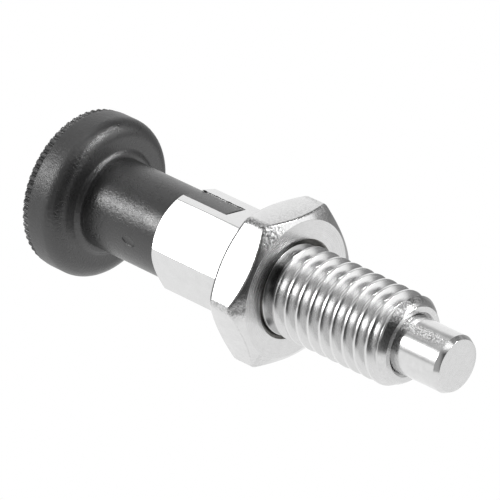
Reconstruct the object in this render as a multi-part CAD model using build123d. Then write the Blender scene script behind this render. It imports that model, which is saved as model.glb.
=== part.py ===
"""Indexing plunger with rest position, M8 sleeve, 5 mm pin, plastic mushroom grip.

Frame: millimetres. The plunger's axis is X, +X runs towards the pin's tip.
The origin lies on the axis, in the plane of the lock nut's front face, which
bears on the plate that the sleeve is screwed into. +Z is the outward normal of
the collar flat that carries the upper slot.
"""
from build123d import *
import math
import os

os.makedirs("parts", exist_ok=True)

# ---------------------------------------------------------------- dimensions
# thread, M8 x 1.25
THREAD_R = 3.97          # crest radius of an M8 external thread, class 6g
THREAD_ROOT_R = 3.23     # root radius, also the radius of the relief groove
NOSE_X = 12.7            # front end of the sleeve
NOSE_CHAMFER = 0.72      # 45 degree lead at the front end
RELIEF_W = 1.3           # thread relief behind the thread, hidden by the nut

# lock nut, thin hexagon M8
NUT_AF = 12.75           # across flats
NUT_T = 3.7              # thickness
NUT_CHAMFER_R = 6.0      # radius of the bearing circle
NUT_CHAMFER_SLOPE = 0.6  # axial depth of the corner chamfer per mm of radius
NUT_BORE_R = 4.02        # runs over the thread crests
NUT_SINK_R = 4.35        # countersink at both faces
NUT_CORNER_R = 0.55      # rounded corners of the forged blank
NUT_TURN = 5.4           # degrees, how the nut happens to be turned

# hexagonal collar
COLLAR_AF = 8.0
COLLAR_FRONT_X = -3.75   # shoulder that the nut runs up against
COLLAR_REAR_X = -12.7
COLLAR_REAR_R = 3.75     # radius where the rear chamfer starts
COLLAR_SLOPE = 0.88      # axial depth of the rear chamfer per mm of radius
SLOT_W = 2.4             # slot milled across the rear of the collar
SLOT_END_X = -7.45
SLOT_END_R = 0.08

# bores
BORE_R = 2.515           # guide bore of the pin and chamber of the spring
BORE_SINK_R = 2.78       # countersink at the nose
WEB_X = -5.8             # front face of the web that carries the spring
STEM_HOLE_R = 1.53

# indexing pin
PIN_R = 2.485
PIN_TIP_X = 17.4
PIN_TIP_R = 2.245        # end face, lead-in chamfer of 30 degrees
PIN_TIP_L = 0.43
SHOULDER_X = 4.2         # the spring pushes here
STEM_R = 1.5
STEM_END_X = -21.6
BARB_R = 1.66
BARB_L = 0.8
BARB_COUNT = 5
BARB_X0 = -20.9          # rear edge of the last barb

# compression spring, closed and ground ends
WIRE_D = 0.5
SPRING_MEAN_R = 2.1
SPRING_TURNS_ACTIVE = 7

# grip, one moulding: head, neck and two keys
NECK_R = 4.0
KEY_W = 2.3
KEY_GAP = 0.15           # between the key's end and the slot's end
KEY_BORE_R = 1.56        # the stem passes between the two keys
FLARE_X = -20.3          # the root of the neck flares into the head from here
FLARE_R = 4.6            # radius where the flare would meet the face
FLARE_FILLET = 0.3       # crease between the flare and the face
FACE_X = -20.77          # front face of the head
HEAD_R = 7.08
HEAD_FILLET = 1.5        # front edge of the head
RIB_X0 = -23.83          # ribbed band, front edge
RIB_X1 = -24.5           # ribbed band, rear edge
RIB_R = 6.97             # at the rear edge, a little less than the head
RIB_DEPTH = 0.13
RIB_COUNT = 60
REAR_EDGE_R = 0.12
DOME_X = -25.7           # highest point of the domed rear face

STROKE = 5.2             # travel of the pin and grip, spring nearly solid


# ------------------------------------------------------------------- helpers
def revolve_profile(points):
    """Solid of revolution about X from (x, r) points that close on the axis."""
    wire = Polyline(*[(x, r, 0.0) for x, r in points], close=True)
    return revolve(make_face(wire), axis=Axis.X, revolution_arc=360)


def tube_x(r, x0, x1):
    """Cylinder about X from x0 to x1."""
    c = Cylinder(radius=r, height=x1 - x0, align=(Align.CENTER, Align.CENTER, Align.MIN))
    return Pos(x0, 0, 0) * Rot(0, 90, 0) * c


def hex_x(af, x0, x1, turn=0.0):
    """Hexagonal bar about X, with a flat facing +Z before it is turned."""
    pts = []
    rc = af / math.sqrt(3.0)
    for i in range(6):
        a = math.radians(30 + 60 * i + turn)
        pts.append((x0, -rc * math.sin(a), rc * math.cos(a)))
    face = make_face(Polyline(*pts, close=True))
    return extrude(face, amount=x1 - x0, dir=(1, 0, 0))


def save(shape, name, color):
    solids = shape.solids()
    assert len(solids) == 1, (name, len(solids))
    s = solids[0]
    s.label = name
    s.color = color
    export_step(s, f"parts/{name}.step")
    bb = s.bounding_box()
    print(f"{name}: {s.volume:.2f} mm3, x {bb.min.X:.2f}..{bb.max.X:.2f}, "
          f"y {bb.min.Y:.2f}..{bb.max.Y:.2f}, z {bb.min.Z:.2f}..{bb.max.Z:.2f}")
    return s


# ----------------------------------------------------------- threaded sleeve
# Turned from hexagon bar: the collar keeps the bar's flats, the rest is the
# M8 thread, here a plain cylinder at the crest radius.
collar = hex_x(COLLAR_AF, COLLAR_REAR_X, COLLAR_FRONT_X)
corner_r = COLLAR_AF / math.sqrt(3.0) + 0.5
collar_env = revolve_profile([
    (COLLAR_REAR_X, 0.0),
    (COLLAR_REAR_X, COLLAR_REAR_R),
    (COLLAR_REAR_X + (corner_r - COLLAR_REAR_R) * COLLAR_SLOPE, corner_r),
    (COLLAR_FRONT_X, corner_r),
    (COLLAR_FRONT_X, 0.0),
])
collar = collar & collar_env

relief_x = COLLAR_FRONT_X + RELIEF_W
shank = revolve_profile([
    (COLLAR_FRONT_X - 0.5, 0.0),
    (COLLAR_FRONT_X - 0.5, THREAD_ROOT_R),
    (relief_x - (THREAD_R - THREAD_ROOT_R), THREAD_ROOT_R),
    (relief_x, THREAD_R),
    (NOSE_X - NOSE_CHAMFER, THREAD_R),
    (NOSE_X, THREAD_R - NOSE_CHAMFER),
    (NOSE_X, 0.0),
])
sleeve = collar + shank

bore = revolve_profile([
    (WEB_X, 0.0),
    (WEB_X, BORE_R),
    (NOSE_X - (BORE_SINK_R - BORE_R), BORE_R),
    (NOSE_X, BORE_SINK_R),
    (NOSE_X + 1.0, BORE_SINK_R),
    (NOSE_X + 1.0, 0.0),
])
stem_hole = tube_x(STEM_HOLE_R, COLLAR_REAR_X - 1.0, WEB_X + 0.5)

# one slot milled right across the rear of the collar, for the two keys
slot_len = SLOT_END_X - (COLLAR_REAR_X - 1.0)
slot = Pos(COLLAR_REAR_X - 1.0 + slot_len / 2, 0, 0) * Box(slot_len, SLOT_W, 14)
slot = fillet(slot.edges().filter_by(Axis.Z).group_by(Axis.X)[-1], SLOT_END_R)

sleeve = sleeve - bore - stem_hole - slot
save(sleeve, "threaded_sleeve", Color(0.75, 0.76, 0.78))

# -------------------------------------------------------------- indexing pin
# Ground nose and shoulder, thin stem with retaining barbs at its rear end.
pin_pts = [
    (STEM_END_X, 0.0),
    (STEM_END_X, STEM_R - 0.35),
    (STEM_END_X + 0.35, STEM_R),
]
for i in range(BARB_COUNT):
    x = BARB_X0 + i * BARB_L
    pin_pts += [(x, STEM_R), (x + 0.55, BARB_R), (x + 0.6, STEM_R)]
pin_pts += [
    (SHOULDER_X, STEM_R),
    (SHOULDER_X, PIN_R - 0.2),
    (SHOULDER_X + 0.2, PIN_R),
    (PIN_TIP_X - PIN_TIP_L, PIN_R),
    (PIN_TIP_X, PIN_TIP_R),
    (PIN_TIP_X, 0.0),
]
pin = revolve_profile(pin_pts)
save(pin, "indexing_pin", Color(0.62, 0.63, 0.66))

# -------------------------------------------------------- compression spring
# Round wire between the web and the pin's shoulder, with one closed turn at
# each end.
def coil(x0, p, turns, start_deg):
    """Round wire wound about X from x0, its start start_deg round from +Z."""
    h = Helix(pitch=p, height=p * turns, radius=SPRING_MEAN_R,
              center=(0, 0, 0), direction=(1, 0, 0))
    h = Pos(x0, 0, 0) * h.rotate(Axis.X, start_deg)
    section = Plane(origin=h @ 0, z_dir=h % 0) * Circle(WIRE_D / 2)
    return sweep(section, path=h, is_frenet=True)


closed_pitch = WIRE_D + 0.03
overlap = 8.0                                   # degrees shared by two windings
start_x = WEB_X + WIRE_D / 2 + 0.01
active_x0 = start_x + closed_pitch
active_x1 = SHOULDER_X - WIRE_D / 2 - 0.01 - closed_pitch
active_pitch = (active_x1 - active_x0) / SPRING_TURNS_ACTIVE
spring = coil(start_x, closed_pitch, 1 + overlap / 360, 0)
spring = spring + coil(active_x0, active_pitch, SPRING_TURNS_ACTIVE, 0)
spring = spring + coil(active_x1 - closed_pitch * overlap / 360, closed_pitch,
                       1 + overlap / 360, -overlap)
wire_l = (SPRING_TURNS_ACTIVE * math.hypot(2 * math.pi * SPRING_MEAN_R, active_pitch)
          + 2 * math.hypot(2 * math.pi * SPRING_MEAN_R, closed_pitch))
spring_v = math.pi * (WIRE_D / 2) ** 2 * wire_l
assert abs(spring.volume / spring_v - 1) < 0.01, (spring.volume, spring_v)
save(spring, "compression_spring", Color(0.55, 0.56, 0.58))

# ---------------------------------------------------------------------- grip
# Head, neck and keys are one moulding, pressed over the barbs of the stem.
def arc(cx, cr, r, a0, a1):
    """Arc in the profile plane; angles from +x towards +r, in degrees."""
    def at(a):
        return (cx + r * math.cos(math.radians(a)), cr + r * math.sin(math.radians(a)))
    return ThreePointArc(at(a0), at((a0 + a1) / 2), at(a1))


flare_a = math.degrees(math.atan2(FLARE_R - NECK_R, FLARE_X - FACE_X))   # slope of the flare
crease_r = FLARE_R + FLARE_FILLET * math.tan(math.radians((90 - flare_a) / 2))
rear_c = (RIB_X1, RIB_R - REAR_EDGE_R)           # rear edge rounding
dome_r0 = RIB_R - REAR_EDGE_R                    # radius where the dome starts
dome_x0 = RIB_X1 - REAR_EDGE_R
dome_h = dome_x0 - DOME_X
dome_R = (dome_h ** 2 + dome_r0 ** 2) / (2 * dome_h)   # spherical, centred on the axis
dome_a = math.asin(dome_r0 / dome_R) / 2
outline = [
    Line((COLLAR_REAR_X, 0), (COLLAR_REAR_X, NECK_R - 0.1)),
    Line((COLLAR_REAR_X, NECK_R - 0.1), (COLLAR_REAR_X - 0.1, NECK_R)),
    Line((COLLAR_REAR_X - 0.1, NECK_R), (FLARE_X, NECK_R)),
]
crease = arc(FACE_X + FLARE_FILLET, crease_r, FLARE_FILLET, 270 - flare_a, 180)
outline += [
    Line((FLARE_X, NECK_R), crease @ 0),
    crease,
    Line(crease @ 1, (FACE_X, HEAD_R - HEAD_FILLET)),
    arc(FACE_X - HEAD_FILLET, HEAD_R - HEAD_FILLET, HEAD_FILLET, 0, 90),
    Line((FACE_X - HEAD_FILLET, HEAD_R), (RIB_X0, HEAD_R)),
    Line((RIB_X0, HEAD_R), (RIB_X1, RIB_R)),
    arc(rear_c[0], rear_c[1], REAR_EDGE_R, 90, 180),
    ThreePointArc((dome_x0, dome_r0),
                  (DOME_X + dome_R * (1 - math.cos(dome_a)), dome_R * math.sin(dome_a)),
                  (DOME_X, 0)),
    Line((DOME_X, 0), (COLLAR_REAR_X, 0)),
]
grip = revolve(make_face(Wire(outline)), axis=Axis.X, revolution_arc=360)

# two keys that slide in the collar's slots, their backs flush with the neck
key_x1 = SLOT_END_X - KEY_GAP
key_l = key_x1 - COLLAR_REAR_X + 0.5
keys = Pos(key_x1 - key_l / 2, 0, 0) * Box(key_l, KEY_W, 2 * NECK_R)
keys = fillet(keys.edges().filter_by(Axis.Z).group_by(Axis.X)[-1], 0.15)
keys = keys & tube_x(NECK_R, key_x1 - key_l - 1, key_x1 + 1)
grip = grip + keys

# blind bore, its rear part gripping the barbs
hold_x = BARB_X0 + BARB_COUNT * BARB_L
grip_bore = [(STEM_END_X, 0.0), (STEM_END_X, STEM_R - 0.35), (STEM_END_X + 0.35, STEM_R)]
for i in range(BARB_COUNT):
    x = BARB_X0 + i * BARB_L
    grip_bore += [(x, STEM_R), (x + 0.55, BARB_R), (x + 0.6, STEM_R)]
grip_bore += [(hold_x, STEM_R), (hold_x, KEY_BORE_R), (key_x1 + 1, KEY_BORE_R), (key_x1 + 1, 0.0)]
grip = grip - revolve_profile(grip_bore)

# fine ribs round the rear edge of the head
cut_r = 0.22
cutters = []
for i in range(RIB_COUNT):
    a = math.radians((i + 0.5) * 360.0 / RIB_COUNT)
    rr = RIB_R - RIB_DEPTH + cut_r
    c = Cylinder(radius=cut_r, height=RIB_X0 - RIB_X1 + 0.97,
                 align=(Align.CENTER, Align.CENTER, Align.MIN))
    cutters.append(Pos(RIB_X1 - 1.0, -rr * math.sin(a), rr * math.cos(a)) * Rot(0, 90, 0) * c)
grip = grip - Compound(cutters)
save(grip, "grip", Color(0.10, 0.10, 0.11))

# ------------------------------------------------------------------ lock nut
nut = hex_x(NUT_AF, -NUT_T, 0.0, turn=NUT_TURN)
nut = fillet(nut.edges().filter_by(Axis.X), NUT_CORNER_R)
rn = NUT_AF / math.sqrt(3.0) + 0.5
dn = (rn - NUT_CHAMFER_R) * NUT_CHAMFER_SLOPE
nut = nut & revolve_profile([
    (-NUT_T, 0.0), (-NUT_T, NUT_CHAMFER_R), (-NUT_T + dn, rn),
    (-dn, rn), (0.0, NUT_CHAMFER_R), (0.0, 0.0),
])
sink = NUT_SINK_R - NUT_BORE_R
nut = nut - revolve_profile([
    (-NUT_T - 1, 0.0), (-NUT_T - 1, NUT_SINK_R), (-NUT_T, NUT_SINK_R),
    (-NUT_T + 0.6 * sink, NUT_BORE_R), (-0.6 * sink, NUT_BORE_R),
    (0.0, NUT_SINK_R), (1.0, NUT_SINK_R), (1.0, 0.0),
])
save(nut, "lock_nut", Color(0.78, 0.79, 0.81))
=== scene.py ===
"""Looks of the indexing plunger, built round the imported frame.

Lengths are written in millimetres and turned into metres where a mesh is made.
X is the plunger's axis, +X towards the pin's tip, as in the frame.
"""

import math

import bmesh
import bpy
import numpy as np
from mathutils import Matrix, Vector


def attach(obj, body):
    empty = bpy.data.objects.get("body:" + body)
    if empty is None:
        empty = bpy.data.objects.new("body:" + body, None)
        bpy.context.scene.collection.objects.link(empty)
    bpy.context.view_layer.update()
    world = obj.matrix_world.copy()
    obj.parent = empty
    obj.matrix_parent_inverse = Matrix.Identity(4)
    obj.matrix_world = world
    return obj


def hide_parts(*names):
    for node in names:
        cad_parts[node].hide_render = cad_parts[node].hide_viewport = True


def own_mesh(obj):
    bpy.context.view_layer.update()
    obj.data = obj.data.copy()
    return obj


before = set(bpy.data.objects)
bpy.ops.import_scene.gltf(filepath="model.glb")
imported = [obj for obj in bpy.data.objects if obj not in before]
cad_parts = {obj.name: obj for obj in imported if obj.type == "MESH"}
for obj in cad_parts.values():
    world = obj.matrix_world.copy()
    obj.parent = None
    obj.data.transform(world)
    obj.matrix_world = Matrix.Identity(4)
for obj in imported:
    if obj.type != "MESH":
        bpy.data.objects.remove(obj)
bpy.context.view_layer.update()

MM = 0.001

# ---------------------------------------------------------------- dimensions
PITCH = 1.25
CREST_R = 3.97
ROOT_R = 3.233
CREST_X = 0.484            # a crest passes here at +Y, one more each pitch
NOSE_X = 12.7
NOSE_R = 3.25
COLLAR_AF = 8.0
COLLAR_X0, COLLAR_X1 = -12.7, -3.75
COLLAR_REAR_R = 3.75
COLLAR_SLOPE = 0.88
RELIEF_X = -2.45
SLOT_W = 2.4
SLOT_END_X = -7.45
BORE_R = 2.515
BORE_SINK_R = 2.78
WEB_X = -5.8
STEM_HOLE_R = 1.53

NUT_AF = 12.75
NUT_T = 3.7
NUT_CHAMFER_R = 6.0
NUT_CHAMFER_SLOPE = 0.6
NUT_SINK_R = 4.35
NUT_CORNER_R = 0.65
NUT_TURN = 5.4

PIN_R = 2.485
PIN_TIP_X = 17.4
PIN_TIP_R = 2.245
PIN_TIP_L = 0.43
SHOULDER_X = 4.2
STEM_R = 1.5
STEM_END_X = -21.6
BARB_R, BARB_L, BARB_COUNT, BARB_X0 = 1.66, 0.8, 5, -20.9

WIRE_D, SPRING_R, TURNS = 0.5, 2.1, 7

NECK_R = 4.0
KEY_W, KEY_X1, KEY_BORE_R = 2.36, -7.6, 1.56
FLARE_X, FLARE_R = -20.45, 4.8
FACE_X, HEAD_R, HEAD_F = -20.77, 7.08, 1.5
RIB_X0, RIB_X1, RIB_R, RIB_DEPTH, RIB_COUNT = -23.83, -24.5, 6.97, 0.165, 60
REAR_F, DOME_X = 0.12, -25.7
NECK_END_X = COLLAR_X0 - 0.012


# ------------------------------------------------------------- mesh building
class Shell:
    """Vertices and faces of one closed skin, in millimetres."""

    def __init__(self):
        self.v, self.f = [], []

    def add(self, pts):
        n = len(self.v)
        self.v.extend(map(tuple, pts))
        return list(range(n, n + len(pts)))

    def face(self, ids):
        out = []
        for i in ids:
            if i not in out:
                out.append(i)
        if len(out) > 2:
            self.f.append(out)

    def ring(self, phi, x, r):
        """One closed ring: x and r are numbers or arrays as long as phi."""
        x = np.broadcast_to(x, phi.shape)
        r = np.broadcast_to(r, phi.shape)
        return self.add(np.stack([x, r * np.cos(phi), r * np.sin(phi)], 1))

    def loft(self, rings, closed=False):
        """Quads between rings of the same count, outward for a profile that runs towards +X on the outside."""
        pairs = list(zip(rings[:-1], rings[1:]))
        if closed:
            pairs.append((rings[-1], rings[0]))
        for a, b in pairs:
            n = len(a)
            for j in range(n):
                k = (j + 1) % n
                self.face([a[j], a[k], b[k], b[j]])

    def zipper(self, a, pa, b, pb):
        """Triangles between two rings of different counts, by angle."""
        ia = np.argsort(np.mod(pa, 2 * np.pi))
        ib = np.argsort(np.mod(pb, 2 * np.pi))
        A, B = [a[i] for i in ia], [b[i] for i in ib]
        PA, PB = np.mod(np.asarray(pa)[ia], 2 * np.pi), np.mod(np.asarray(pb)[ib], 2 * np.pi)
        i = j = 0
        na, nb = len(A), len(B)
        while i < na or j < nb:
            nxa = PA[(i + 1) % na] + 2 * np.pi * ((i + 1) // na)
            nxb = PB[(j + 1) % nb] + 2 * np.pi * ((j + 1) // nb)
            if j >= nb or (i < na and nxa <= nxb):
                self.face([A[i % na], A[(i + 1) % na], B[j % nb]])
                i += 1
            else:
                self.face([A[i % na], B[(j + 1) % nb], B[j % nb]])
                j += 1

    def cap(self, ring, centre, flip=False):
        c = self.add([centre])[0]
        n = len(ring)
        for j in range(n):
            k = (j + 1) % n
            self.face([ring[k], ring[j], c] if not flip else [ring[j], ring[k], c])

    def object(self, name):
        me = bpy.data.meshes.new(name)
        me.from_pydata([(x * MM, y * MM, z * MM) for x, y, z in self.v], [], self.f)
        me.validate()
        bm = bmesh.new()
        bm.from_mesh(me)
        loose = [v for v in bm.verts if not v.link_faces]
        bmesh.ops.delete(bm, geom=loose, context="VERTS")
        bmesh.ops.recalc_face_normals(bm, faces=bm.faces)
        bm.to_mesh(me)
        bm.free()
        ob = bpy.data.objects.new(name, me)
        bpy.context.scene.collection.objects.link(ob)
        return ob


def fillet2(p0, p1, p2, rad, n=3):
    """Points of an arc of radius rad that rounds the corner p1, in the (x, r) plane."""
    p0, p1, p2 = (np.asarray(p, float) for p in (p0, p1, p2))
    a, b = p0 - p1, p2 - p1
    la, lb = np.hypot(*a), np.hypot(*b)
    a, b = a / la, b / lb
    ang = math.acos(max(-1, min(1, float(a @ b))))
    t = min(rad / math.tan(ang / 2), la * 0.49, lb * 0.49)
    rr = t * math.tan(ang / 2)
    m = a + b
    c = p1 + m / np.hypot(*m) * (rr / math.sin(ang / 2))
    s, e = p1 + a * t, p1 + b * t
    a0 = math.atan2(*(s - c)[::-1])
    a1 = math.atan2(*(e - c)[::-1])
    d = (a1 - a0 + math.pi) % (2 * math.pi) - math.pi
    return [(c[0] + rr * math.cos(a0 + d * k / n), c[1] + rr * math.sin(a0 + d * k / n)) for k in range(n + 1)]


def rounded(pts, radii, n=3, closed=False):
    """A profile with its corners rounded: radii[i] is 0 where the corner stays sharp."""
    out = []
    m = len(pts)
    for i, p in enumerate(pts):
        if radii[i] <= 0 or (not closed and i in (0, m - 1)):
            out.append(tuple(p))
        else:
            out += fillet2(pts[i - 1], p, pts[(i + 1) % m], radii[i], n)
    return out


def hex_radius(phi, af, turn, edge):
    """Radius of a hexagon whose corners are rounded by edge; a flat faces +Z, turned by turn degrees."""
    a = af / 2
    # angle from the nearest corner; corners lie 30 degrees off each flat's normal
    base = math.radians(90 + turn + 30)
    d = np.abs((phi - base + math.pi / 6) % (math.pi / 3) - math.pi / 6)
    c = (a - edge) / math.cos(math.pi / 6)
    lim = math.atan2(edge / 2, c + edge * math.cos(math.pi / 6))
    flat = a / np.cos(math.pi / 6 - d)
    s = np.clip(edge ** 2 - (c * np.sin(d)) ** 2, 0, None)
    arc = c * np.cos(d) + np.sqrt(s)
    return np.where(d < lim, arc, flat), lim


def hex_columns(af, turn, edge, per_flat):
    """Angles round a hexagon: even on the flats, close together over each rounded corner."""
    _, lim = hex_radius(np.zeros(1), af, turn, edge)
    base = math.radians(90 + turn + 30)
    out = []
    for k in range(6):
        c = base + k * math.pi / 3
        out += [c + lim * t for t in (-1, -0.6, -0.2, 0.2, 0.6, 1)]
        inner = np.linspace(lim, math.pi / 3 - lim, per_flat + 1)[1:-1]
        # close to the corner the columns follow a cone, so they stay even
        out += [c + t for t in inner]
    return np.array(sorted(np.mod(out, 2 * np.pi)))


# ------------------------------------------------------------------- threads
def thread_rows(crest_r, root_r, crest_half, root_arc, crest_f):
    """(offset from the crest, radius) over one pitch of a 60 degree thread, from one crest's middle to the next.
    The flanks leave the crest's corners and run into an arc of radius root_arc at the root."""
    half = PITCH / 2
    sink = 1 if crest_r > root_r else -1
    h = math.sqrt(3)
    # the root arc's tangent point lies on the flank; its middle is at half a pitch
    s_t = half - root_arc * math.sin(math.radians(60))
    r_t = root_r + sink * root_arc * (1 - math.cos(math.radians(60)))
    s_c = s_t - abs(crest_r - r_t) / h
    assert s_c > crest_half * 0.5, (s_c, crest_half)
    pts = [(0.0, crest_r)] + fillet2((0.0, crest_r), (s_c, crest_r), (s_t, r_t), crest_f, 3)
    s1, r1 = pts[-1]
    for t in (0.33, 0.67):
        pts.append((s1 + (s_t - s1) * t, r1 + (r_t - r1) * t))
    for k in range(4):
        a = math.radians(60 * (1 - k / 3))
        pts.append((half - root_arc * math.sin(a), root_r + sink * root_arc * (1 - math.cos(a))))
    pts[-1] = (half, root_r)
    back = [(PITCH - s, r) for s, r in pts[1:-1]][::-1]
    return pts + back


def helix_band(sh, phi, rows, x0, x1, radius_at, crest_x, r0, r1):
    """A thread's skin between x0 and x1, its rows along the helix. Returns the two end rings, of radius r0 and r1.
    radius_at(profile radius, x) applies chamfers, reliefs and countersinks."""
    n = len(rows)
    first = math.floor((x0 - PITCH - crest_x) / PITCH) - 1
    last = math.ceil((x1 - crest_x) / PITCH) + 1
    srows = [(crest_x + k * PITCH + s, r) for k in range(first, last + 1) for s, r in rows]
    m, cols = len(srows), len(phi)
    s = np.array([q[0] for q in srows])
    r = np.array([q[1] for q in srows])
    X = s[:, None] + PITCH * phi[None, :] / (2 * np.pi)
    R = radius_at(np.broadcast_to(r[:, None], X.shape), X)
    lo, hi = X <= x0 + 1e-3, X >= x1 - 1e-3
    ring0 = sh.ring(phi, x0, r0)
    ring1 = sh.ring(phi, x1, r1)
    ids = np.zeros((m, cols), int)
    Y, Z = R * np.cos(phi)[None, :], R * np.sin(phi)[None, :]
    for j in range(cols):
        for i in range(m):
            if lo[i, j]:
                ids[i, j] = ring0[j]
            elif hi[i, j]:
                ids[i, j] = ring1[j]
            else:
                sh.v.append((X[i, j], Y[i, j], Z[i, j]))
                ids[i, j] = len(sh.v) - 1
    for j in range(cols):
        k = (j + 1) % cols
        off = n if k == 0 else 0
        for i in range(m - 1):
            if i + 1 + off < m:      # past that, everything lies on the end ring
                sh.face([ids[i, j], ids[i + off, k], ids[i + 1 + off, k], ids[i + 1, j]])
    return ring0, ring1


def nose_radius(x):
    """The thread's start: the nose is turned to a slightly full chamfer, steeper at its end."""
    u = np.clip(NOSE_X - 0.03 - x, 0, 3.5)
    return NOSE_R + 0.03 + 0.84 * u - 0.1 * u ** 2


def even(n, start=0.0):
    return np.arange(n) * 2 * np.pi / n + start


def boolean(ob, cutter, what="DIFFERENCE"):
    """Cuts one closed mesh with another and keeps the result as plain geometry."""
    mod = ob.modifiers.new("cut", "BOOLEAN")
    mod.operation, mod.solver, mod.object = what, "EXACT", cutter
    dg = bpy.context.evaluated_depsgraph_get()
    me = bpy.data.meshes.new_from_object(ob.evaluated_get(dg), depsgraph=dg)
    ob.modifiers.clear()
    old = ob.data
    ob.data = me
    bpy.data.meshes.remove(old)
    name = cutter.data
    bpy.data.objects.remove(cutter)
    bpy.data.meshes.remove(name)


def box_object(name, lo, hi, round_x1=0.0, n=4):
    """A box, its two upright edges at the +X end rounded if asked."""
    (x0, y0, z0), (x1, y1, z1) = lo, hi
    if round_x1:
        r = round_x1
        out = [(x0, y0)]
        for k in range(n + 1):
            a = -math.pi / 2 + math.pi / 2 * k / n
            out.append((x1 - r + r * math.cos(a), y0 + r + r * math.sin(a)))
        for k in range(n + 1):
            a = math.pi / 2 * k / n
            out.append((x1 - r + r * math.cos(a), y1 - r + r * math.sin(a)))
        out.append((x0, y1))
    else:
        out = [(x0, y0), (x1, y0), (x1, y1), (x0, y1)]
    sh = Shell()
    a = sh.add([(x, y, z0) for x, y in out])
    b = sh.add([(x, y, z1) for x, y in out])
    sh.face(a[::-1])
    sh.face(b)
    for j in range(len(out)):
        k = (j + 1) % len(out)
        sh.face([a[j], a[k], b[k], b[j]])
    return sh.object(name)


def ellipsoid_object(name, semi, around, up):
    sh = Shell()
    rings = []
    for i in range(1, up):
        t = math.pi * i / up
        rings.append(sh.add([(semi[0] * math.sin(t) * math.cos(a), semi[1] * math.sin(t) * math.sin(a), -semi[2] * math.cos(t))
                             for a in even(around)]))
    sh.loft(rings)
    sh.cap(rings[0], (0, 0, -semi[2]))
    sh.cap(rings[-1], (0, 0, semi[2]), True)
    return sh.object(name)


def bevel_edges(ob, pick, width, segments=2):
    """Rounds the edges of ob for which pick(edge) is true, by width in millimetres."""
    bm = bmesh.new()
    bm.from_mesh(ob.data)
    bm.normal_update()
    edges = [e for e in bm.edges if len(e.link_faces) == 2 and pick(e)]
    bmesh.ops.bevel(bm, geom=edges, offset=width * MM, offset_type="OFFSET", segments=segments,
                    profile=0.5, affect="EDGES", clamp_overlap=True, miter_outer="ARC")
    bm.to_mesh(ob.data)
    bm.free()
    return len(edges)


def smooth(ob, angle):
    """Smooth shading, with edges over angle degrees kept sharp."""
    me = ob.data
    me.polygons.foreach_set("use_smooth", [True] * len(me.polygons))
    bm = bmesh.new()
    bm.from_mesh(me)
    lim = math.radians(angle)
    for e in bm.edges:
        e.smooth = not (len(e.link_faces) == 2 and e.calc_face_angle(0.0) > lim)
    bm.to_mesh(me)
    bm.free()


# ------------------------------------------------------------ threaded sleeve
def make_sleeve():
    sh = Shell()
    edge = 0.1
    phi = hex_columns(COLLAR_AF, 0.0, edge, 16)
    h, _ = hex_radius(phi, COLLAR_AF, 0.0, edge)
    # the collar's outside, from the rear face over the rear chamfer to the front face
    rings = None
    cols = []
    for a, r in zip(phi, h):
        xc = COLLAR_X0 + (r - COLLAR_REAR_R) * COLLAR_SLOPE
        prof = [(COLLAR_X0, 2.4), (COLLAR_X0, COLLAR_REAR_R), (xc, r), (COLLAR_X1, r), (COLLAR_X1, 3.6)]
        cols.append(rounded(prof, [0, 0.05, 0.05, 0.05, 0], 3))
    m = len(cols[0])
    X = np.array([[c[i][0] for c in cols] for i in range(m)])
    R = np.array([[c[i][1] for c in cols] for i in range(m)])
    rings = [sh.ring(phi, X[i], R[i]) for i in range(m)]
    sh.loft(rings)
    # the shank, from the collar's face to the nose
    th = even(216)
    rows = thread_rows(CREST_R, ROOT_R, 0.09, 0.17, 0.05)
    ramp0 = RELIEF_X - (CREST_R - ROOT_R)

    def env(x):
        relief = np.where(x < ramp0, ROOT_R - 0.01, ROOT_R - 0.01 + (x - ramp0))
        return np.minimum(relief, nose_radius(x))

    x0, x1 = COLLAR_X1 + 0.3, NOSE_X - 0.03
    r_0 = sh.ring(th, COLLAR_X1, ROOT_R + 0.08)
    r_1 = sh.ring(th, COLLAR_X1 + 0.08, ROOT_R)
    e0, e1 = helix_band(sh, th, rows, x0, x1, lambda r, x: np.minimum(r, env(x)), CREST_X,
                        ROOT_R - 0.01, NOSE_R + 0.03)
    sh.zipper(rings[-1], phi, r_0, th)
    sh.loft([r_0, r_1, e0])
    # nose face, countersink, guide bore, web, stem hole
    inner = rounded([(NOSE_X - 0.03, NOSE_R + 0.03), (NOSE_X, NOSE_R), (NOSE_X, BORE_SINK_R),
                     (NOSE_X - (BORE_SINK_R - BORE_R), BORE_R), (WEB_X, BORE_R), (WEB_X, STEM_HOLE_R),
                     (COLLAR_X0 + 0.05, STEM_HOLE_R), (COLLAR_X0, STEM_HOLE_R + 0.05)],
                    [0, 0, 0.03, 0.03, 0.1, 0.05, 0, 0], 2)[1:]
    rin = [e1] + [sh.ring(th, x, r) for x, r in inner]
    sh.loft(rin)
    sh.zipper(rings[0], phi, rin[-1], th)
    ob = sh.object("sleeve_turned")
    boolean(ob, slot_cutter())
    return ob


def slot_cutter():
    """The slot's milling cut, its walls a little uneven where the cutter chattered."""
    rng = np.random.default_rng(7)
    step = 0.16
    xs = np.arange(COLLAR_X0 - 1, SLOT_END_X - 0.1, step)
    r = 0.08
    out = []
    for sgn in (-1, 1):
        wave = np.clip(rng.normal(0.01, 0.03 if sgn > 0 else 0.012, len(xs)), -0.012, 0.07)
        side = [(x, sgn * (SLOT_W / 2 + w)) for x, w in zip(xs, wave)]
        arc = [(SLOT_END_X - r + r * math.cos(a), sgn * (SLOT_W / 2 - r) + sgn * r * math.sin(a))
               for a in np.linspace(math.pi / 2, 0, 5)]
        out.append(side + arc)
    loop = out[0] + out[1][::-1]
    sh = Shell()
    a = sh.add([(x, y, -9) for x, y in loop])
    b = sh.add([(x, y, 9) for x, y in loop])
    sh.face(a[::-1])
    sh.face(b)
    for j in range(len(loop)):
        k = (j + 1) % len(loop)
        sh.face([a[j], a[k], b[k], b[j]])
    return sh.object("slot")


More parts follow.
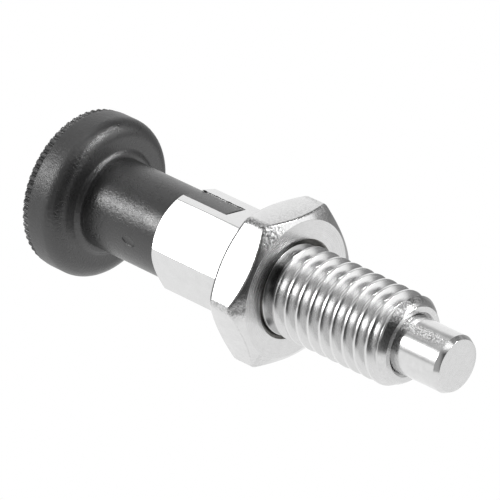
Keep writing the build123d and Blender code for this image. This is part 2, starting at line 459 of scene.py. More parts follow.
# ------------------------------------------------------------------ lock nut
def make_nut():
    sh = Shell()
    edge = NUT_CORNER_R
    phi = hex_columns(NUT_AF, NUT_TURN, edge, 18)
    h, _ = hex_radius(phi, NUT_AF, NUT_TURN, edge)
    cols = []
    for r in h:
        d = (r - NUT_CHAMFER_R) * NUT_CHAMFER_SLOPE
        prof = [(-NUT_T, 4.7), (-NUT_T, NUT_CHAMFER_R - 0.1), (-NUT_T + d + 0.08, r), (-d, r), (0.0, NUT_CHAMFER_R), (0.0, 4.7)]
        cols.append(rounded(prof, [0, 0.12, 0.5, 0.3, 0.1, 0], 7))
    m = len(cols[0])
    rings = [sh.ring(phi, np.array([c[i][0] for c in cols]), np.array([c[i][1] for c in cols])) for i in range(m)]
    sh.loft(rings)
    # internal thread with a countersink at both faces
    th = even(180)
    rows = thread_rows(3.33, 4.06, 0.12, 0.05, 0.03)
    # its root lies over the sleeve's crest
    rows = sorted(((o + PITCH / 2) % PITCH, r) for o, r in rows)
    sink = 1.75

    def env(x):
        return np.maximum(NUT_SINK_R - 0.03 + x * sink, NUT_SINK_R - 0.03 - (x + NUT_T) * sink)

    r_end = NUT_SINK_R - 0.03 - 0.02 * sink
    e0, e1 = helix_band(sh, th, rows, -NUT_T + 0.02, -0.02,
                        lambda r, x: np.maximum(r, env(x)), CREST_X, r_end, r_end)
    f0, f1 = sh.ring(th, -NUT_T, NUT_SINK_R), sh.ring(th, 0.0, NUT_SINK_R)
    sh.loft([f0, e0])
    sh.loft([e1, f1])
    sh.zipper(rings[0], phi, f0, th)
    sh.zipper(rings[-1], phi, f1, th)
    return sh.object("lock_nut_forged")


# -------------------------------------------------------------- indexing pin
def lathe(name, prof, cols):
    """Closed turned shape whose profile starts and ends on the axis."""
    sh = Shell()
    th = even(cols)
    rings = [sh.ring(th, x, r) for x, r in prof[1:-1]]
    sh.loft(rings)
    sh.cap(rings[0], (prof[0][0], 0, 0))
    sh.cap(rings[-1], (prof[-1][0], 0, 0))
    return sh.object(name)


def barbs():
    pts = []
    for i in range(BARB_COUNT):
        x = BARB_X0 + i * BARB_L
        pts += [(x, STEM_R), (x + 0.55, BARB_R), (x + 0.6, STEM_R)]
    return pts


def make_pin():
    pts = [(STEM_END_X, 0.0), (STEM_END_X, STEM_R - 0.35), (STEM_END_X + 0.35, STEM_R)] + barbs()
    pts += [(SHOULDER_X, STEM_R), (SHOULDER_X, PIN_R - 0.2), (SHOULDER_X + 0.2, PIN_R),
            (PIN_TIP_X - PIN_TIP_L, PIN_R), (PIN_TIP_X, PIN_TIP_R), (PIN_TIP_X, 0.0)]
    rad = [0.0] * len(pts)
    rad[-6:] = [0.1, 0.03, 0.03, 0.035, 0.04, 0.0]
    prof = rounded(pts, rad, 3)
    # rings along the long plain runs keep the faces well shaped
    out = [prof[0]]
    for a, b in zip(prof[:-1], prof[1:]):
        n = max(1, int(abs(b[0] - a[0]) / 1.2))
        out += [(a[0] + (b[0] - a[0]) * k / n, a[1] + (b[1] - a[1]) * k / n) for k in range(1, n + 1)]
    tip = [(PIN_TIP_X, r) for r in (1.6, 1.0, 0.4)]
    out = out[:-1] + tip + [(PIN_TIP_X, 0.0)]
    return lathe("indexing_pin_ground", out, 144)


# -------------------------------------------------------- compression spring
def make_spring():
    """Round wire with one closed turn at each end."""
    closed = WIRE_D + 0.03
    s0 = WEB_X + WIRE_D / 2 + 0.01
    a0 = s0 + closed
    a1 = SHOULDER_X - WIRE_D / 2 - 0.01 - closed
    step = 7.5
    n = int((TURNS + 2) * 360 / step)
    pts = []
    for i in range(n + 1):
        t = i * step / 360
        if t <= 1:
            x = s0 + closed * t
        elif t <= 1 + TURNS:
            x = a0 + (a1 - a0) * (t - 1) / TURNS
        else:
            x = a1 + closed * (t - 1 - TURNS)
        a = math.radians(90) + 2 * math.pi * t
        pts.append(Vector((x, SPRING_R * math.cos(a), SPRING_R * math.sin(a))))
    sh = Shell()
    rings = []
    for i, p in enumerate(pts):
        t = (pts[min(i + 1, n)] - pts[max(i - 1, 0)]).normalized()
        out = Vector((0, p.y, p.z)).normalized()
        b = t.cross(out).normalized()
        out = b.cross(t)
        r = WIRE_D / 2
        rings.append(sh.add([p + out * (r * math.cos(a)) + b * (r * math.sin(a))
                             for a in np.arange(16) * 2 * math.pi / 16]))
    sh.loft(rings)
    sh.face(rings[0])
    sh.face(rings[-1])
    return sh.object("compression_spring_wire")


# ---------------------------------------------------------------------- grip
def arc_pts(cx, cr, r, a0, a1, n):
    return [(cx + r * math.cos(math.radians(a0 + (a1 - a0) * k / n)),
             cr + r * math.sin(math.radians(a0 + (a1 - a0) * k / n))) for k in range(n + 1)]


# depth of the groove between two ribs, from one tip to the next, as a share of the deepest
RIB_SECTION = (0.0, 0.06, 0.36, 0.78, 1.22, 0.84, 0.66, 0.84, 1.2, 0.76, 0.36, 0.06)


def rib_depth(phi):
    """Depth of the grooves round the rim; a rib's tip stands at +Z and every 6 degrees from there."""
    n = len(RIB_SECTION)
    u = ((phi - math.pi / 2) / (2 * math.pi / RIB_COUNT)) % 1.0 * n
    return RIB_DEPTH * np.interp(u, np.arange(n + 1), RIB_SECTION + (0.0,))


def band_radius(x):
    """The ribbed band widens towards the head and runs over into its cylinder in a soft curve."""
    slope, w = (HEAD_R - RIB_R) / (RIB_X0 - RIB_X1), 0.32
    t = x - RIB_X0
    if t < -w:
        return HEAD_R + slope * t
    return HEAD_R - slope * max(w - t, 0.0) ** 2 / (4 * w)


def make_grip():
    sh = Shell()
    coarse, fine = 240, 720
    q = fine // coarse
    pc, pf = even(coarse), even(fine)
    dome_r0, dome_x0 = RIB_R - REAR_F, RIB_X1 - REAR_F
    dh = dome_x0 - DOME_X
    dR = (dh ** 2 + dome_r0 ** 2) / (2 * dh)
    # rear dome, on the coarse columns
    dome = [(DOME_X + dR - math.sqrt(dR ** 2 - r ** 2), r) for r in (0.5, 1.2, 2.0, 2.8, 3.6, 4.4, 5.1, 5.7, 6.2, 6.6)]
    rc = [sh.ring(pc, x, r) for x, r in dome]
    sh.loft(rc)
    sh.cap(rc[0], (DOME_X, 0, 0))
    # rim with its ribs, on the fine columns
    G = rib_depth(pf)
    rim = [(dome_x0, dome_r0)] + arc_pts(RIB_X1, RIB_R - REAR_F, REAR_F, 160, 90, 5)
    rf = [sh.ring(pf, x, np.minimum(r, RIB_R - G)) for x, r in rim]
    # the grooves run out at the band's front edge
    for x, share in ((-24.36, 1), (-24.2, 1), (-24.05, 1), (-23.95, 1), (-23.905, 0.92), (-23.87, 0.6), (-23.85, 0.2), (-23.84, 0)):
        rf.append(sh.ring(pf, x, band_radius(x) - G * share))
    sh.loft(rf)
    for j in range(coarse):
        k = (j + 1) % coarse
        sh.face([rc[-1][j], rc[-1][k]] + [rf[0][(q * (j + 1) - t) % fine] for t in range(q + 1)])
    # the rest of the outside, coarse again
    out = [(RIB_X0 + t, band_radius(RIB_X0 + t)) for t in (0.03, 0.1, 0.2, 0.32)]
    out += [(RIB_X0 + (FACE_X - HEAD_F - RIB_X0) * t, HEAD_R) for t in (0.35, 0.7)]
    out += arc_pts(FACE_X - HEAD_F, HEAD_R - HEAD_F, HEAD_F, 90, 0, 16)
    # the face rises over a soft step to the root of the neck
    u = np.linspace(0, 1, 18)
    g = 1 / (1 + np.exp(-(u - 0.36) / 0.105))
    g = (g - g[0]) / (g[-1] - g[0])
    out += [(FACE_X + (FLARE_X - FACE_X) * b, FLARE_R + (NECK_R + 0.01 - FLARE_R) * a) for a, b in zip(u, g)]
    x = FLARE_X + 0.03
    n = 84
    out += [(x + (KEY_X1 - x) * k / n, NECK_R) for k in range(0, n)]
    out += [(KEY_X1, NECK_R), (KEY_X1, 2.8), (KEY_X1, KEY_BORE_R)]
    ro = [sh.ring(pc, x, r) for x, r in out]
    sh.loft(ro)
    for j in range(coarse):
        k = (j + 1) % coarse
        sh.face([rf[-1][(q * j + t) % fine] for t in range(q + 1)] + [ro[0][k], ro[0][j]])
    # blind bore, tight on the stem's barbs
    hold = BARB_X0 + BARB_COUNT * BARB_L
    b = [(hold, KEY_BORE_R), (hold, STEM_R)] + barbs()[::-1] + [(STEM_END_X + 0.35, STEM_R), (STEM_END_X, STEM_R - 0.35)]
    rb = [sh.ring(pc, x, r) for x, r in b]
    sh.loft([ro[-1]] + rb)
    sh.cap(rb[-1], (STEM_END_X, 0, 0))
    ob = sh.object("grip_moulding")
    # between the keys the sides are cut back to the end of the neck
    for sgn in (-1, 1):
        y = sorted((sgn * KEY_W / 2, sgn * 6))
        side = box_object("side", (COLLAR_X0 - 1, y[0], -6), (KEY_X1 + 1, y[1], 6))
        boolean(side, lathe("turn", [(NECK_END_X, 0.0), (NECK_END_X, 1.9), (NECK_END_X, COLLAR_REAR_R),
                                     (NECK_END_X + 0.45 * COLLAR_SLOPE, COLLAR_REAR_R + 0.45),
                                     (NECK_END_X + 0.45 * COLLAR_SLOPE, 7.0), (KEY_X1 + 0.9, 7.0), (KEY_X1 + 0.9, 0.0)],
                            144), "INTERSECT")
        boolean(ob, side)
    # a wide shallow sink on the neck, and an oval mark beside it
    co = np.empty(len(ob.data.vertices) * 3)
    ob.data.vertices.foreach_get("co", co)
    co = co.reshape(-1, 3)
    x, r = co[:, 0] / MM, np.hypot(co[:, 1], co[:, 2]) / MM
    phi = np.degrees(np.arctan2(co[:, 2], co[:, 1])) % 360
    dip = 0.035 * np.exp(-((x + 14.75) / 0.62) ** 2 - ((phi - 158) / 26) ** 2)
    dip = np.where((np.abs(r - NECK_R) < 0.02) & (x < COLLAR_X0 - 0.3), dip, 0.0)
    co[:, 1:] *= (1 - dip / np.maximum(r, 1e-6))[:, None]
    # the keys' tops are a little flatter than the neck is round
    y, top = co[:, 1] / MM, np.abs(co[:, 2]) / MM
    rise = np.clip((x - COLLAR_X0 - 0.2) / 0.8, 0, 1) * 0.6 * (NECK_R - top)
    rise = np.where((np.abs(r - NECK_R) < 0.02) & (np.abs(y) < KEY_W / 2 + 0.25), rise, 0.0)
    co[:, 2] *= 1 + rise / np.maximum(top, 1e-6)
    ob.data.vertices.foreach_set("co", co.ravel())
    mark = ellipsoid_object("mark", (0.74, 0.42, 0.12), 40, 20)
    mark.matrix_world = (Matrix.Rotation(math.radians(189.5 - 90), 4, "X")
                         @ Matrix.Translation((-15.2 * MM, 0, (NECK_R + 0.01) * MM))
                         @ Matrix.Rotation(math.radians(-14), 4, "Z"))
    bpy.context.view_layer.update()
    boolean(ob, mark)
    w = KEY_W / 2 * MM

    def cut_face(f):
        n, c = f.normal, f.calc_center_median()
        return abs(n.y) > 0.98 and abs(abs(c.y) - w) < 2e-6 and c.x > COLLAR_X0 * MM

    def key_end(f):
        return f.normal.x > 0.98 and abs(f.calc_center_median().x - KEY_X1 * MM) < 2e-6

    def rim_edge(e):
        a, b = e.link_faces
        mid = (e.verts[0].co + e.verts[1].co) / 2
        if math.hypot(mid.y, mid.z) < 2.5 * MM or mid.x < (COLLAR_X0 + 0.5) * MM or e.calc_face_angle(0.0) < math.radians(30):
            return False
        return cut_face(a) != cut_face(b) or key_end(a) != key_end(b)

    bevel_edges(ob, rim_edge, 0.025, 2)
    return ob


sleeve = make_sleeve()
nut = make_nut()
pin = make_pin()
spring = make_spring()
grip = make_grip()


def link(ob, body, node, angle):
    smooth(ob, angle)
    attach(ob, body)
    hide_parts(node)


link(sleeve, "sleeve", "threaded_sleeve", 32)
link(nut, "nut", "lock_nut", 32)
link(pin, "plunger", "indexing_pin", 32)
link(grip, "plunger", "grip", 40)
link(spring, "sleeve", "compression_spring", 60)
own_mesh(spring)


# -------------------------------------------------------------------- camera
cam_data = bpy.data.cameras.new("camera")
cam = bpy.data.objects.new("camera", cam_data)
bpy.context.scene.collection.objects.link(cam)
bpy.context.scene.camera = cam
right = Vector((0.72759, 0.67196, 0.13814)).normalized()
back = Vector((0.59314, -0.71738, 0.36546)).normalized()
up = back.cross(right).normalized()
right = up.cross(back)
m = Matrix((right, up, back)).transposed().to_4x4()
m.translation = Vector((0.23640, -0.29247, 0.15041))
cam.matrix_world = m
cam_data.sensor_width = 36
cam_data.lens = 359.51
cam_data.clip_start, cam_data.clip_end = 0.01, 20


# ----------------------------------------------------------------- materials
class Mat:
    """Node helper for one material. Object coordinates in millimetres."""

    def __init__(self, name):
        self.mat = bpy.data.materials.new(name)
        self.mat.use_nodes = True
        self.nt = self.mat.node_tree
        self.b = self.nt.nodes["Principled BSDF"]
        tc = self.nt.nodes.new("ShaderNodeTexCoord")
        v = self.nt.nodes.new("ShaderNodeVectorMath")
        v.operation = "SCALE"
        self.nt.links.new(tc.outputs["Object"], v.inputs[0])
        v.inputs["Scale"].default_value = 1000.0
        self.p = v.outputs[0]
        sep = self.nt.nodes.new("ShaderNodeSeparateXYZ")
        self.nt.links.new(self.p, sep.inputs[0])
        self.x, self.y, self.z = sep.outputs[0], sep.outputs[1], sep.outputs[2]

    def put(self, socket, v):
        if isinstance(v, (int, float, tuple)):
            socket.default_value = v
        else:
            self.nt.links.new(v, socket)

    def math(self, op, a, b=None, c=None, clamp=False):
        n = self.nt.nodes.new("ShaderNodeMath")
        n.operation, n.use_clamp = op, clamp
        for i, v in enumerate((a, b, c)):
            if v is not None:
                self.put(n.inputs[i], v)
        return n.outputs[0]

    def radius(self):
        return self.math("SQRT", self.math("ADD", self.math("MULTIPLY", self.y, self.y), self.math("MULTIPLY", self.z, self.z)))

    def vec(self, x, y, z):
        n = self.nt.nodes.new("ShaderNodeCombineXYZ")
        for i, v in enumerate((x, y, z)):
            self.put(n.inputs[i], v)
        return n.outputs[0]

    def turned(self, across, around, profile=None):
        """Coordinates that change quickly along the profile and slowly round the axis: across and around are per mm."""
        r = self.radius()
        k = self.math("DIVIDE", around, self.math("MAXIMUM", r, 0.05))
        k = self.math("MULTIPLY", k, 3.0)
        along = profile if profile is not None else self.math("ADD", self.x, self.math("MULTIPLY", r, 1.31))
        return self.vec(self.math("MULTIPLY", along, across), self.math("MULTIPLY", self.y, k), self.math("MULTIPLY", self.z, k))

    def noise(self, scale, detail=2.0, rough=0.5, coord=None, warp=0.0):
        n = self.nt.nodes.new("ShaderNodeTexNoise")
        n.noise_dimensions = "3D"
        self.put(n.inputs["Vector"], self.p if coord is None else coord)
        n.inputs["Scale"].default_value = scale
        n.inputs["Detail"].default_value = detail
        n.inputs["Roughness"].default_value = rough
        n.inputs["Distortion"].default_value = warp
        return n.outputs["Fac"]

    def remap(self, v, a, b, c, d, smooth=False):
        n = self.nt.nodes.new("ShaderNodeMapRange")
        n.interpolation_type = "SMOOTHSTEP" if smooth else "LINEAR"
        self.put(n.inputs["Value"], v)
        for k, q in zip(("From Min", "From Max", "To Min", "To Max"), (a, b, c, d)):
            self.put(n.inputs[k], q)
        return n.outputs["Result"]

    def attr(self, name):
        n = self.nt.nodes.new("ShaderNodeAttribute")
        n.attribute_name = name
        return n.outputs["Fac"]

    def grey(self, v, tint=(1.0, 1.0, 1.0)):
        n = self.nt.nodes.new("ShaderNodeCombineColor")
        for i in range(3):
            self.put(n.inputs[i], v if tint[i] == 1.0 else self.math("MULTIPLY", v, tint[i]))
        return n.outputs[0]

    def bump(self, height, distance, normal=None, strength=1.0):
        """distance is the height in mm of the texture's whole range."""
        n = self.nt.nodes.new("ShaderNodeBump")
        self.put(n.inputs["Height"], height)
        n.inputs["Distance"].default_value = distance * MM
        self.put(n.inputs["Strength"], strength)
        if normal is not None:
            self.nt.links.new(normal, n.inputs["Normal"])
        return n.outputs["Normal"]

    def done(self, color, roughness, normal=None, metallic=0.0, **const):
        self.put(self.b.inputs["Base Color"], color)
        self.put(self.b.inputs["Roughness"], roughness)
        self.put(self.b.inputs["Metallic"], metallic)
        if normal is not None:
            self.nt.links.new(normal, self.b.inputs["Normal"])
        for k, v in const.items():
            self.b.inputs[k].default_value = v
        return self.mat


def mark(ob, name, fn):
    """Writes a number from 0 to 1 at every vertex, worked out from x, r (mm) and the angle round the axis (degrees)."""
    me = ob.data
    co = np.empty(len(me.vertices) * 3)
    me.vertices.foreach_get("co", co)
    co = co.reshape(-1, 3) / MM
    x, r = co[:, 0], np.hypot(co[:, 1], co[:, 2])
    phi = np.degrees(np.arctan2(co[:, 2], co[:, 1]))
    a = me.attributes.new(name, "FLOAT", "POINT")
    a.data.foreach_set("value", np.clip(fn(x, r, phi), 0, 1).astype(np.float32))


def assign(ob, mats, pick):
    """Gives each face the material that pick(centre in mm, normal) chooses."""
    me = ob.data
    me.materials.clear()
    for q in mats:
        me.materials.append(q)
    for p in me.polygons:
        c = p.center / MM
        p.material_index = pick(c, p.normal)


def milled_steel():
    """Flats: bright, with the faintest cloudy unevenness."""
    m = Mat("milled_steel")
    cloud = m.noise(0.9, 4.0, 0.6)
    fine = m.noise(7.0, 2.0, 0.6)
    base = m.math("ADD", m.remap(cloud, 0.3, 0.7, 0.685, 0.725), m.remap(fine, 0.3, 0.7, -0.012, 0.012))
    lines = m.noise(1.0, 2.0, 0.5, coord=m.vec(m.math("MULTIPLY", m.x, 0.6), m.math("MULTIPLY", m.y, 14.0), m.math("MULTIPLY", m.z, 14.0)))
    n = m.bump(lines, 0.0004)
    n = m.bump(m.noise(5.0, 2.0, 0.6), 0.0008, n)
    return m.done(m.grey(base), m.remap(cloud, 0.3, 0.7, 0.13, 0.2), n, 1.0)


def thread_steel():
    """Rolled thread: satin, crests burnished, fine lines along the turn; painted shade next to the nut, and partly
    painted shade on the top of the nose's chamfer.
    """
    m = Mat("thread_steel")
    r = m.radius()
    cloud = m.noise(1.1, 3.0, 0.6)
    crest = m.remap(r, CREST_R - 0.06, CREST_R - 0.01, 0.0, 1.0)
    lines = m.noise(1.0, 3.0, 0.65, coord=m.turned(13.0, 0.9))
    grain = m.noise(9.0, 2.0, 0.7)
    rough = m.math("ADD", m.remap(cloud, 0.3, 0.7, 0.21, 0.26), m.remap(lines, 0.3, 0.7, -0.04, 0.05))
    rough = m.math("SUBTRACT", rough, m.math("MULTIPLY", crest, 0.03))
    base = m.math("ADD", m.remap(lines, 0.25, 0.75, 0.64, 0.72), m.math("MULTIPLY", crest, 0.05))
    start = m.attr("start")
    # painted shade: the thread is darkened next to the nut, most in the roots, as in the nut's shadow
    painted_nut_shade = m.math("MULTIPLY", m.remap(m.x, 0.4, 1.2, 1.0, 0.0, True), m.remap(r, CREST_R - 0.1, CREST_R, 1.0, 0.35))
    painted_nut_shade = m.math("MULTIPLY", painted_nut_shade, m.remap(m.noise(0.35, 2.0, 0.5), 0.42, 0.58, 0.4, 0.85, True))
    base = m.math("MULTIPLY", base, m.math("SUBTRACT", 1.0, painted_nut_shade))
    rough = m.math("SUBTRACT", rough, m.math("MULTIPLY", start, 0.12))
    n = m.bump(lines, 0.0010)
    n = m.bump(grain, 0.0010, n)
    n = m.bump(m.noise(1.0, 2.0, 0.6, coord=m.turned(6.0, 1.0)), 0.02, n, start)
    burr_and_shade = m.noise(5.5, 2.0, 0.8)
    n = m.bump(burr_and_shade, 0.013, n, start)
    # partly a burr's rough dark texture, partly painted shade that dims the lamps' reflection on the top of the nose's
    # chamfer
    base = m.math("ADD", base, m.math("MULTIPLY", start, m.remap(burr_and_shade, 0.4, 0.6, -0.3, 0.05)))
    return m.done(m.grey(base), rough, n, 1.0)


def nut_steel():
    """Forged and tumbled flats: fine pitting, rougher where the chamfer and the corners are turned and tumbled."""
    m = Mat("nut_steel")
    cloud = m.noise(1.3, 4.0, 0.62)
    grain = m.noise(6.5, 3.0, 0.7)
    edge = m.attr("worn")
    base = m.math("ADD", m.remap(cloud, 0.3, 0.7, 0.68, 0.73), m.remap(grain, 0.3, 0.7, -0.02, 0.02))
    rough = m.math("ADD", m.remap(cloud, 0.3, 0.7, 0.13, 0.2), m.math("MULTIPLY", edge, 0.17))
    n = m.bump(m.noise(2.4, 3.0, 0.6), 0.0020)
    n = m.bump(grain, 0.0012, n, m.remap(edge, 0.0, 1.0, 0.7, 1.0))
    n = m.bump(m.noise(5.0, 3.0, 0.75), 0.045, n, edge)
    pits = m.remap(m.noise(4.6, 3.0, 0.8), 0.42, 0.58, 0.8, 0.12)
    base = m.math("MULTIPLY", base, m.math("SUBTRACT", 1.0, m.math("MULTIPLY", edge, pits)))
    return m.done(m.grey(base), rough, n, 1.0)


def slot_wall():
    """Walls of the slot, left matt by the cutter."""
    m = Mat("slot_wall")
    cloud = m.noise(2.2, 3.0, 0.6)
    lines = m.noise(6.0, 2.0, 0.6)
    n = m.bump(lines, 0.004)
    return m.done(m.grey(m.remap(cloud, 0.3, 0.7, 0.7, 0.8)), m.remap(lines, 0.3, 0.7, 0.5, 0.66), n, 0.45)


def inner_shade_steel():
    """The nut's thread and countersinks, painted dark as the shade inside the nut, with a faintly warm tint."""
    m = Mat("inner_shade_steel")
    cloud = m.noise(1.8, 4.0, 0.65)
    lines = m.noise(1.0, 3.0, 0.6, coord=m.turned(12.0, 0.6))
    n = m.bump(lines, 0.0025)
    return m.done(m.grey(m.remap(cloud, 0.3, 0.7, 0.16, 0.32), (1.0, 0.98, 0.94)), m.remap(lines, 0.3, 0.7, 0.28, 0.4), n, 1.0)


def turned_face():
    """Bearing face of the nut, faced on a lathe."""
    m = Mat("turned_face")
    lines = m.noise(1.0, 3.0, 0.6, coord=m.turned(11.0, 0.35, m.radius()))
    cloud = m.noise(1.4, 3.0, 0.6)
    base = m.math("ADD", m.remap(lines, 0.25, 0.75, 0.64, 0.73), m.remap(cloud, 0.3, 0.7, -0.025, 0.025))
    n = m.bump(lines, 0.0013)
    n = m.bump(m.noise(9.0, 2.0, 0.7), 0.0014, n)
    return m.done(m.grey(base), m.remap(lines, 0.3, 0.7, 0.22, 0.3), n, 1.0)


def ground_steel():
    """Pin: centreless ground, with fine specks left in the surface."""
    m = Mat("ground_steel")
    lines = m.noise(1.0, 2.0, 0.6, coord=m.turned(16.0, 0.5, m.x))
    cloud = m.noise(1.6, 3.0, 0.6)
    grain = m.noise(8.0, 3.0, 0.75)
    base = m.math("ADD", m.remap(cloud, 0.3, 0.7, 0.67, 0.73), m.remap(lines, 0.3, 0.7, -0.015, 0.015))
    scuff = m.attr("scuff")
    n = m.bump(lines, 0.0006)
    n = m.bump(m.noise(1.3, 2.0, 0.5), 0.003, n)
    n = m.bump(grain, 0.0010, n)
    specks = m.noise(8.5, 1.0, 0.6)
    n = m.bump(specks, 0.045, n, scuff)
    dark = m.math("MULTIPLY", scuff, m.remap(specks, 0.42, 0.58, -0.3, 0.28))
    base = m.math("ADD", base, dark)
    rough = m.math("ADD", m.remap(cloud, 0.3, 0.7, 0.15, 0.21), m.math("MULTIPLY", scuff, 0.13))
    return m.done(m.grey(base), rough, n, 1.0)


def faced_steel():
    """Cut end faces, with rings from the tool."""
    m = Mat("faced_steel")
    lines = m.noise(1.0, 3.0, 0.6, coord=m.turned(9.0, 0.5, m.radius()))
    mottle = m.noise(2.0, 2.0, 0.6)
    base = m.math("ADD", m.remap(mottle, 0.3, 0.7, 0.65, 0.72), m.remap(lines, 0.3, 0.7, -0.015, 0.015))
    n = m.bump(lines, 0.0010)
    n = m.bump(m.noise(2.2, 3.0, 0.6), 0.0020, n)
    return m.done(m.grey(base), m.remap(mottle, 0.3, 0.7, 0.24, 0.32), n, 1.0)


def spring_steel():
    m = Mat("spring_steel")
    drawn = m.noise(1.0, 2.0, 0.6, coord=m.turned(10.0, 0.3))
    n = m.bump(drawn, 0.0015)
    return m.done(m.grey(m.remap(drawn, 0.3, 0.7, 0.5, 0.6)), m.remap(m.noise(1.5, 3.0, 0.6), 0.3, 0.7, 0.18, 0.3), n, 1.0)


def black_plastic():
    """Glass-filled polyamide from a spark-eroded mould: fine even grain, a little rubbed on the ribs; the bottoms of
    the rib grooves darkened as painted shade.
    """
    m = Mat("black_plastic")
    cloud = m.noise(0.55, 4.0, 0.6)
    grain = m.noise(3.9, 2.0, 0.7)
    fine = m.noise(8.0, 2.0, 0.7)
    groove = m.attr("groove")
    base = m.math("ADD", m.remap(cloud, 0.3, 0.7, 0.016, 0.021), m.remap(grain, 0.3, 0.7, -0.0016, 0.0016))
    # painted shade: the deepest parts of the rib grooves are darkened almost to black
    base = m.math("MULTIPLY", base, m.remap(groove, 0.78, 1.02, 1.0, 0.03))
    rough = m.math("ADD", m.remap(cloud, 0.3, 0.7, 0.28, 0.33), m.remap(grain, 0.3, 0.7, -0.04, 0.04))
    rough = m.math("ADD", rough, m.remap(groove, 0.78, 1.02, 0.0, 0.55))
    rough = m.math("ADD", rough, m.math("MULTIPLY", m.attr("rim"), 0.12))
    # the mould is smoother where the neck enters the collar
    n = m.bump(grain, 0.034, None, m.remap(m.x, -15.8, -12.5, 1.0, 0.35, True))
    n = m.bump(fine, 0.014, n)
    return m.done(m.grey(base, (1.0, 1.0, 1.02)), rough, n, 0.0, **{"Specular IOR Level": 0.95})


MILLED, THREAD, NUT, FACE, GROUND, FACED, SPRING, PLASTIC, INNER_SHADE = (
    milled_steel(), thread_steel(), nut_steel(), turned_face(), ground_steel(), faced_steel(), spring_steel(), black_plastic(), inner_shade_steel())
WALL = slot_wall()

assign(sleeve, [MILLED, THREAD, FACED, WALL],
       lambda c, n: 3 if (abs(n.y) > 0.8 and abs(abs(c.y) - SLOT_W / 2) < 0.1 and c.x < SLOT_END_X - 0.1 and abs(c.z) > BORE_R)
       else 0 if c.x < COLLAR_X1 + 0.01 else (2 if c.x > NOSE_X - 0.004 and n.x > 0.9 else 1))
assign(nut, [NUT, FACE, INNER_SHADE],
       lambda c, n: 2 if math.hypot(c.y, c.z) < NUT_SINK_R - 0.01 else (1 if abs(n.x) > 0.995 else 0))
assign(pin, [GROUND, FACED], lambda c, n: 1 if c.x > PIN_TIP_X - 0.004 else 0)
assign(spring, [SPRING], lambda c, n: 0)
assign(grip, [PLASTIC], lambda c, n: 0)


def nut_wear(x, r, phi):
    """1 at the chamfers and the hexagon's corners, falling to 0 on the flats."""
    h, _ = hex_radius(np.radians(phi), NUT_AF, NUT_TURN, NUT_CORNER_R)
    d = (h - NUT_CHAMFER_R) * NUT_CHAMFER_SLOPE
    front, back = x + d, -NUT_T + d - x
    off = (phi - (90 + NUT_TURN + 30) + 30) % 60 - 30
    corner = 1.4 - np.abs(np.radians(off)) * 6.5 / 0.45
    side = np.maximum(1 + np.maximum(front, back) / 0.25, corner)
    cone = (front > 0.02) | (back > 0.02)
    near = np.clip(1.3 - np.abs(np.radians(off)) * 6.5 / 1.3, 0.12, 1)
    most = 0.2 + 0.8 * np.exp(-((phi % 360 - 122) / 54) ** 4)
    most = most + 0.6 * np.exp(-((phi % 360 - 187) / 3.4) ** 2) * (x > -0.9)
    return np.where(cone, near, side) * (r > NUT_CHAMFER_R - 0.15) * most


mark(nut, "worn", nut_wear)
# the nose's chamfer, weighted to its top, where the thread's darkening there is partly painted shade over the lamps'
# reflection
mark(sleeve, "start", lambda x, r, phi: (r > NOSE_R + 0.01) * (1 - np.abs(nose_radius(x) - r) / 0.1) * (x > NOSE_X - 1.15)
     * (0.15 + 0.85 * np.exp(-((phi % 360 - 115) / 48) ** 4)))
mark(pin, "scuff", lambda x, r, phi: np.exp(-((phi % 360 - 124) / 11.0) ** 4) * np.exp(-((x - 14.5) / 2.4) ** 6) * (r > PIN_R - 0.1))
mark(grip, "rim", lambda x, r, phi: (r - 6.9) / 0.15 * (x < FACE_X - 0.8))
# depth into the rib grooves, which the plastic uses to paint shade into their bottoms
mark(grip, "groove", lambda x, r, phi: np.where((x < RIB_X0 + 0.1) & (x > RIB_X1 - 0.05),
                                               (RIB_R + (HEAD_R - RIB_R) * (x - RIB_X1) / (RIB_X0 - RIB_X1) - r) / RIB_DEPTH, 0.0))

# ------------------------------------------------------------ floor and light
def emission(name, strength):
    mat = bpy.data.materials.new(name)
    mat.use_nodes = True
    nt = mat.node_tree
    nt.nodes.clear()
    e = nt.nodes.new("ShaderNodeEmission")
    e.inputs["Strength"].default_value = strength
    o = nt.nodes.new("ShaderNodeOutputMaterial")
    nt.links.new(e.outputs[0], o.inputs["Surface"])
    return mat


def backdrop(name, verts, faces):
    """A plain white surface of the studio. It gives no light itself, the world does."""
    me = bpy.data.meshes.new(name)
    me.from_pydata(verts, [], faces)
    ob = bpy.data.objects.new(name, me)
    bpy.context.scene.collection.objects.link(ob)
    me.materials.append(paper)
    ob.visible_diffuse = ob.visible_glossy = ob.visible_transmission = ob.visible_shadow = False
    return ob


paper = emission("paper_white", 1.0)
s = 1.0
z = -HEAD_R * MM
backdrop("floor", [(-s, -s, z), (s, -s, z), (s, s, z), (-s, s, z)], [(0, 1, 2, 3)])
ring = [(1.1 * math.cos(a), 1.1 * math.sin(a)) for a in np.linspace(0, 2 * math.pi, 49)[:-1]]
backdrop("wall", [(x, y, -0.5) for x, y in ring] + [(x, y, 1.2) for x, y in ring] + [(0, 0, 1.5)],
         [(j, (j + 1) % 48, 48 + (j + 1) % 48, 48 + j) for j in range(48)]
         + [(48 + j, 48 + (j + 1) % 48, 96) for j in range(48)])

world = bpy.data.worlds.new("world")
bpy.context.scene.world = world
world.use_nodes = True
wt = world.node_tree
bg = wt.nodes["Background"]


def wmath(op, a, b=None):
    n = wt.nodes.new("ShaderNodeMath")
    n.operation = op
    for i, v in enumerate((a, b)):
        if v is None:
            continue
        if isinstance(v, (int, float)):
            n.inputs[i].default_value = v
        else:
            wt.links.new(v, n.inputs[i])
    return n.outputs[0]


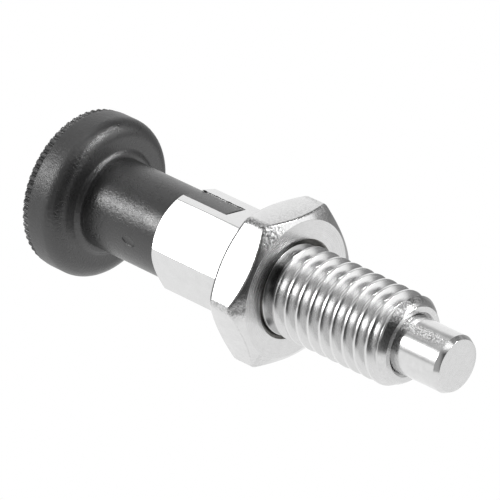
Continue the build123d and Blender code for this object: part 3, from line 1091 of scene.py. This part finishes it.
def wstep(v, lo, hi):
    """0 below lo and 1 above hi, smooth between."""
    n = wt.nodes.new("ShaderNodeMapRange")
    n.interpolation_type = "SMOOTHSTEP"
    wt.links.new(v, n.inputs["Value"])
    n.inputs["From Min"].default_value = lo
    n.inputs["From Max"].default_value = hi
    return n.outputs["Result"]


tc = wt.nodes.new("ShaderNodeTexCoord")
sep = wt.nodes.new("ShaderNodeSeparateXYZ")
wt.links.new(tc.outputs["Generated"], sep.inputs[0])
elev = wmath("MULTIPLY", wmath("ARCSINE", sep.outputs["Z"]), 180 / math.pi)


def azimuth_from(mid):
    """Degrees round +Z, counted from mid, -180 to 180."""
    c, sn = math.cos(math.radians(mid)), math.sin(math.radians(mid))
    u = wmath("ADD", wmath("MULTIPLY", sep.outputs["X"], c), wmath("MULTIPLY", sep.outputs["Y"], sn))
    v = wmath("SUBTRACT", wmath("MULTIPLY", sep.outputs["Y"], c), wmath("MULTIPLY", sep.outputs["X"], sn))
    return wmath("MULTIPLY", wmath("ARCTAN2", v, u), 180 / math.pi)


def panel(az0, az1, el0, el1, soft=4.0, soft_el=None):
    """A soft-edged panel of the studio, between two azimuths and two elevations in degrees."""
    mid, half = (az0 + az1) / 2, abs(az1 - az0) / 2
    a = wmath("ABSOLUTE", azimuth_from(mid))
    h = wmath("SUBTRACT", 1.0, wstep(a, half - soft, half + soft))
    se = soft if soft_el is None else soft_el
    e = wmath("MULTIPLY", wstep(elev, el0 - se, el0 + se), wmath("SUBTRACT", 1.0, wstep(elev, el1 - se, el1 + se)))
    return wmath("MULTIPLY", h, e)


def blend_to(base, mask, value):
    """base where the mask is 0, value where it is 1."""
    return wmath("ADD", wmath("MULTIPLY", base, wmath("SUBTRACT", 1.0, mask)), wmath("MULTIPLY", mask, value))


WALL, TABLE = 0.45, 1.02
level = blend_to(wmath("MULTIPLY", elev, 0.0), wmath("SUBTRACT", 1.0, wstep(elev, -26, -17)), TABLE)
level = blend_to(level, wstep(elev, -26, -17), WALL)
PANELS = [
    # azimuths, elevations, softness, radiance
    (118, 172, -30, 42, 5, 1.08),      # white wall behind
    (50, 122, 42, 62, 4, 0.2),         # gap above it
    (60, 97, -10, 32, 5, 0.28),        # gap right of it
    (-98, 3, -24, 44, 4, 0.06),        # the unlit side of the studio, where the camera stands
    (-80, -57, -24, 50, 4, 0.45),      # a stand in it
    (30, 66, -34, -6, 4, 1.02),        # table in front of the pin
    (9, 60, 10, 34, 4, 1.35),          # wall beside the right softbox
    (-60, 16, 56, 78, 4, 1.6),         # reflector above the camera
    (20, 80, 62, 80, 4, 0.25),         # gap beside it
    (0, 56, 34, 58, 5, 1.35),          # softbox, right, with its lamps
    (12, 16, 38, 42, 1.5, 105.0),
    (25.5, 29.5, 44.5, 48.5, 1.5, 105.0),
    (40.5, 44.5, 44, 48, 1.5, 105.0),
    (140, 230, 68, 84, 4, 2.6),        # softbox, overhead and behind
    (-150, -104, -32, -8, 3, 1.02),    # table under the left softbox
    (-150, -108, 2, 34, 8, 1.45),      # softbox, left, with its bright middle
    (-137, -121, 15, 26, 8, 21.0),
    (152, 250, 43, 64, 4, 0.65),       # grey wall above it, with a dark edge
    (-168, -138, 37, 44, 3, 0.35),
    (174, 212, -14, 40, 4, 0.35),      # gap behind it
]
for az0, az1, el0, el1, soft, value in PANELS:
    level = blend_to(level, panel(az0, az1, el0, el1, soft), value)
wt.links.new(level, bg.inputs["Strength"])
bg.inputs["Color"].default_value = (1, 1, 1, 1)
bpy.context.scene.view_settings.view_transform = "Standard"
